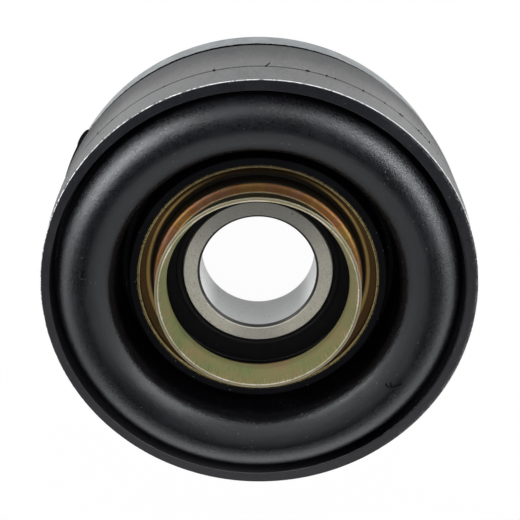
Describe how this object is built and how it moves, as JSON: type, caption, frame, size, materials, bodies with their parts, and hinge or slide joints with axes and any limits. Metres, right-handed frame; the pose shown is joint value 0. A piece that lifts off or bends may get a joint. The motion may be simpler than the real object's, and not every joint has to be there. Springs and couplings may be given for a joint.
{
  "type": "driveshaft centre bearing",
  "caption": "Driveshaft centre support bearing: a sealed ball bearing in a plated sleeve with flared dust shields, hung in a rubber roll cushion inside a steel ring.",
  "frame": {"origin": "centre of the rear face of the outer ring, where the part lies on a surface", "axes": "+Z along the shaft axis, from the bare steel lip at the rear to the rubber roll at the front; +Y is up in the picture"},
  "size_m": [0.1094, 0.1094, 0.0472],
  "materials": {
    "bare_steel": "bare drawn steel, pale grey",
    "cushion_rubber": "moulded black rubber, satin",
    "yellow_plating": "steel with yellow passivated zinc, iridescent",
    "ring_steel": "ground bearing steel",
    "ball_steel": "polished bearing steel",
    "cage_steel": "pressed sheet steel",
    "seal_rubber": "moulded black nitrile rubber"
  },
  "bodies": {
    "housing": {"outer_ring": "bare_steel", "rubber_cushion": "cushion_rubber", "inner_sleeve": "yellow_plating", "front_shield": "yellow_plating", "rear_shield": "yellow_plating", "bearing_outer_ring": "ring_steel", "front_seal": "seal_rubber", "rear_seal": "seal_rubber"},
    "inner_race": {"bearing_inner_ring": "ring_steel"},
    "cage": {"cage_front": "cage_steel", "cage_rear": "cage_steel", "cage_rivets": "cage_steel"},
    "ball_1": {"ball_1": "ball_steel"},
    "ball_2": {"ball_2": "ball_steel"},
    "ball_3": {"ball_3": "ball_steel"},
    "ball_4": {"ball_4": "ball_steel"},
    "ball_5": {"ball_5": "ball_steel"},
    "ball_6": {"ball_6": "ball_steel"},
    "ball_7": {"ball_7": "ball_steel"},
    "ball_8": {"ball_8": "ball_steel"},
    "ball_9": {"ball_9": "ball_steel"}
  },
  "joints": [
    {"name": "inner_spin", "type": "hinge", "parent": "housing", "child": "inner_race", "pos_m": [0, 0, 0.0232], "axis": [0, 0, 1], "continuous": true},
    {"name": "cage_spin", "type": "hinge", "parent": "housing", "child": "cage", "pos_m": [0, 0, 0.0232], "axis": [0, 0, 1], "continuous": true},
    {"name": "ball_1_spin", "type": "hinge", "parent": "cage", "child": "ball_1", "pos_m": [0.023, 0, 0.0232], "axis": [0, 0, 1], "continuous": true},
    {"name": "ball_2_spin", "type": "hinge", "parent": "cage", "child": "ball_2", "pos_m": [0.01762, 0.01478, 0.0232], "axis": [0, 0, 1], "continuous": true},
    {"name": "ball_3_spin", "type": "hinge", "parent": "cage", "child": "ball_3", "pos_m": [0.00399, 0.02265, 0.0232], "axis": [0, 0, 1], "continuous": true},
    {"name": "ball_4_spin", "type": "hinge", "parent": "cage", "child": "ball_4", "pos_m": [-0.0115, 0.01992, 0.0232], "axis": [0, 0, 1], "continuous": true},
    {"name": "ball_5_spin", "type": "hinge", "parent": "cage", "child": "ball_5", "pos_m": [-0.02161, 0.00787, 0.0232], "axis": [0, 0, 1], "continuous": true},
    {"name": "ball_6_spin", "type": "hinge", "parent": "cage", "child": "ball_6", "pos_m": [-0.02161, -0.00787, 0.0232], "axis": [0, 0, 1], "continuous": true},
    {"name": "ball_7_spin", "type": "hinge", "parent": "cage", "child": "ball_7", "pos_m": [-0.0115, -0.01992, 0.0232], "axis": [0, 0, 1], "continuous": true},
    {"name": "ball_8_spin", "type": "hinge", "parent": "cage", "child": "ball_8", "pos_m": [0.00399, -0.02265, 0.0232], "axis": [0, 0, 1], "continuous": true},
    {"name": "ball_9_spin", "type": "hinge", "parent": "cage", "child": "ball_9", "pos_m": [0.01762, -0.01478, 0.0232], "axis": [0, 0, 1], "continuous": true}
  ],
  "couplings": [
    {"joint": "cage_spin", "follows": "inner_spin", "ratio": 0.39647},
    {"joint": "ball_1_spin", "follows": "inner_spin", "ratio": -2.3112},
    {"joint": "ball_2_spin", "follows": "inner_spin", "ratio": -2.3112},
    {"joint": "ball_3_spin", "follows": "inner_spin", "ratio": -2.3112},
    {"joint": "ball_4_spin", "follows": "inner_spin", "ratio": -2.3112},
    {"joint": "ball_5_spin", "follows": "inner_spin", "ratio": -2.3112},
    {"joint": "ball_6_spin", "follows": "inner_spin", "ratio": -2.3112},
    {"joint": "ball_7_spin", "follows": "inner_spin", "ratio": -2.3112},
    {"joint": "ball_8_spin", "follows": "inner_spin", "ratio": -2.3112},
    {"joint": "ball_9_spin", "follows": "inner_spin", "ratio": -2.3112}
  ]
}
